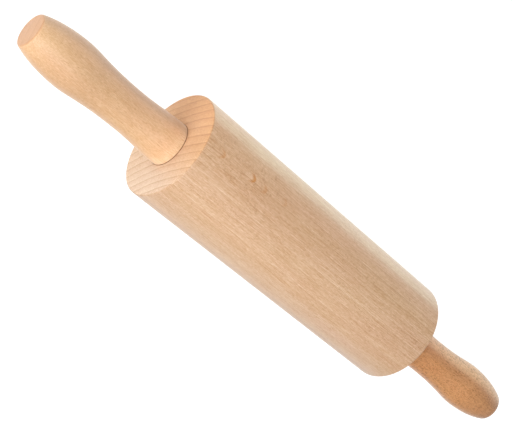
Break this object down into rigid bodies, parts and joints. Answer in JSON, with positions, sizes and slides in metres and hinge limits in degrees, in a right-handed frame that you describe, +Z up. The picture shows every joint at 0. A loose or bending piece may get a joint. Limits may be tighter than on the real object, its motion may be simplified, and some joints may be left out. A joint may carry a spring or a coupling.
{
  "type": "rolling pin",
  "caption": "Wooden rolling pin: a solid turned barrel that spins on ball bearings round a steel rod, with a turned grip handle at each end.",
  "frame": {"origin": "middle of the barrel on the pin's axis, which is also the middle of the whole pin", "axes": "+X along the pin's axis from the left handle to the right handle, +Z up, away from the surface that the barrel lies on"},
  "size_m": [0.442, 0.07, 0.07],
  "materials": {
    "beech_barrel": "sanded and lightly oiled",
    "beech_handle": "sanded, clear satin lacquer",
    "zinc_steel": "drawn, zinc plated",
    "bearing_steel": "ground",
    "shield_steel": "pressed sheet",
    "ball_steel": "polished",
    "spring_steel": "phosphated, dark",
    "brass": "turned",
    "nylon": "moulded"
  },
  "bodies": {
    "handles_and_rod": {"axle_rod": "zinc_steel", "left_handle": "beech_handle", "left_threaded_insert": "brass", "left_spacer_washer": "zinc_steel", "left_bearing_inner_ring": "bearing_steel", "left_retaining_clip": "spring_steel", "right_handle": "beech_handle", "right_threaded_insert": "brass", "right_spacer_washer": "zinc_steel", "right_bearing_inner_ring": "bearing_steel", "right_retaining_clip": "spring_steel"},
    "barrel": {"barrel": "beech_barrel", "left_bearing_sleeve": "nylon", "left_bearing_outer_ring": "bearing_steel", "left_bearing_shield_outside": "shield_steel", "left_bearing_shield_inside": "shield_steel", "right_bearing_sleeve": "nylon", "right_bearing_outer_ring": "bearing_steel", "right_bearing_shield_outside": "shield_steel", "right_bearing_shield_inside": "shield_steel"},
    "left_cage": {"left_bearing_cage": "nylon"},
    "left_ball_1": {"left_bearing_ball_1": "ball_steel"},
    "left_ball_2": {"left_bearing_ball_2": "ball_steel"},
    "left_ball_3": {"left_bearing_ball_3": "ball_steel"},
    "left_ball_4": {"left_bearing_ball_4": "ball_steel"},
    "left_ball_5": {"left_bearing_ball_5": "ball_steel"},
    "left_ball_6": {"left_bearing_ball_6": "ball_steel"},
    "left_ball_7": {"left_bearing_ball_7": "ball_steel"},
    "right_cage": {"right_bearing_cage": "nylon"},
    "right_ball_1": {"right_bearing_ball_1": "ball_steel"},
    "right_ball_2": {"right_bearing_ball_2": "ball_steel"},
    "right_ball_3": {"right_bearing_ball_3": "ball_steel"},
    "right_ball_4": {"right_bearing_ball_4": "ball_steel"},
    "right_ball_5": {"right_bearing_ball_5": "ball_steel"},
    "right_ball_6": {"right_bearing_ball_6": "ball_steel"},
    "right_ball_7": {"right_bearing_ball_7": "ball_steel"}
  },
  "joints": [
    {"name": "barrel_spin", "type": "hinge", "parent": "handles_and_rod", "child": "barrel", "pos_m": [0, 0, 0], "axis": [1, 0, 0], "continuous": true},
    {"name": "left_cage_spin", "type": "hinge", "parent": "handles_and_rod", "child": "left_cage", "pos_m": [-0.1052, 0, 0], "axis": [1, 0, 0], "continuous": true},
    {"name": "left_ball_1_spin", "type": "hinge", "parent": "left_cage", "child": "left_ball_1", "pos_m": [-0.1052, 0, 0.0075], "axis": [1, 0, 0], "continuous": true},
    {"name": "left_ball_2_spin", "type": "hinge", "parent": "left_cage", "child": "left_ball_2", "pos_m": [-0.1052, -0.00586, 0.00468], "axis": [1, 0, 0], "continuous": true},
    {"name": "left_ball_3_spin", "type": "hinge", "parent": "left_cage", "child": "left_ball_3", "pos_m": [-0.1052, -0.00731, -0.00167], "axis": [1, 0, 0], "continuous": true},
    {"name": "left_ball_4_spin", "type": "hinge", "parent": "left_cage", "child": "left_ball_4", "pos_m": [-0.1052, -0.00325, -0.00676], "axis": [1, 0, 0], "continuous": true},
    {"name": "left_ball_5_spin", "type": "hinge", "parent": "left_cage", "child": "left_ball_5", "pos_m": [-0.1052, 0.00325, -0.00676], "axis": [1, 0, 0], "continuous": true},
    {"name": "left_ball_6_spin", "type": "hinge", "parent": "left_cage", "child": "left_ball_6", "pos_m": [-0.1052, 0.00731, -0.00167], "axis": [1, 0, 0], "continuous": true},
    {"name": "left_ball_7_spin", "type": "hinge", "parent": "left_cage", "child": "left_ball_7", "pos_m": [-0.1052, 0.00586, 0.00468], "axis": [1, 0, 0], "continuous": true},
    {"name": "right_cage_spin", "type": "hinge", "parent": "handles_and_rod", "child": "right_cage", "pos_m": [0.1052, 0, 0], "axis": [1, 0, 0], "continuous": true},
    {"name": "right_ball_1_spin", "type": "hinge", "parent": "right_cage", "child": "right_ball_1", "pos_m": [0.1052, 0, 0.0075], "axis": [1, 0, 0], "continuous": true},
    {"name": "right_ball_2_spin", "type": "hinge", "parent": "right_cage", "child": "right_ball_2", "pos_m": [0.1052, 0.00586, 0.00468], "axis": [1, 0, 0], "continuous": true},
    {"name": "right_ball_3_spin", "type": "hinge", "parent": "right_cage", "child": "right_ball_3", "pos_m": [0.1052, 0.00731, -0.00167], "axis": [1, 0, 0], "continuous": true},
    {"name": "right_ball_4_spin", "type": "hinge", "parent": "right_cage", "child": "right_ball_4", "pos_m": [0.1052, 0.00325, -0.00676], "axis": [1, 0, 0], "continuous": true},
    {"name": "right_ball_5_spin", "type": "hinge", "parent": "right_cage", "child": "right_ball_5", "pos_m": [0.1052, -0.00325, -0.00676], "axis": [1, 0, 0], "continuous": true},
    {"name": "right_ball_6_spin", "type": "hinge", "parent": "right_cage", "child": "right_ball_6", "pos_m": [0.1052, -0.00731, -0.00167], "axis": [1, 0, 0], "continuous": true},
    {"name": "right_ball_7_spin", "type": "hinge", "parent": "right_cage", "child": "right_ball_7", "pos_m": [0.1052, -0.00586, 0.00468], "axis": [1, 0, 0], "continuous": true}
  ],
  "couplings": [
    {"joint": "left_cage_spin", "follows": "barrel_spin", "ratio": 0.632},
    {"joint": "left_ball_1_spin", "follows": "barrel_spin", "ratio": 1.7619},
    {"joint": "left_ball_2_spin", "follows": "barrel_spin", "ratio": 1.7619},
    {"joint": "left_ball_3_spin", "follows": "barrel_spin", "ratio": 1.7619},
    {"joint": "left_ball_4_spin", "follows": "barrel_spin", "ratio": 1.7619},
    {"joint": "left_ball_5_spin", "follows": "barrel_spin", "ratio": 1.7619},
    {"joint": "left_ball_6_spin", "follows": "barrel_spin", "ratio": 1.7619},
    {"joint": "left_ball_7_spin", "follows": "barrel_spin", "ratio": 1.7619},
    {"joint": "right_cage_spin", "follows": "barrel_spin", "ratio": 0.632},
    {"joint": "right_ball_1_spin", "follows": "barrel_spin", "ratio": 1.7619},
    {"joint": "right_ball_2_spin", "follows": "barrel_spin", "ratio": 1.7619},
    {"joint": "right_ball_3_spin", "follows": "barrel_spin", "ratio": 1.7619},
    {"joint": "right_ball_4_spin", "follows": "barrel_spin", "ratio": 1.7619},
    {"joint": "right_ball_5_spin", "follows": "barrel_spin", "ratio": 1.7619},
    {"joint": "right_ball_6_spin", "follows": "barrel_spin", "ratio": 1.7619},
    {"joint": "right_ball_7_spin", "follows": "barrel_spin", "ratio": 1.7619}
  ]
}
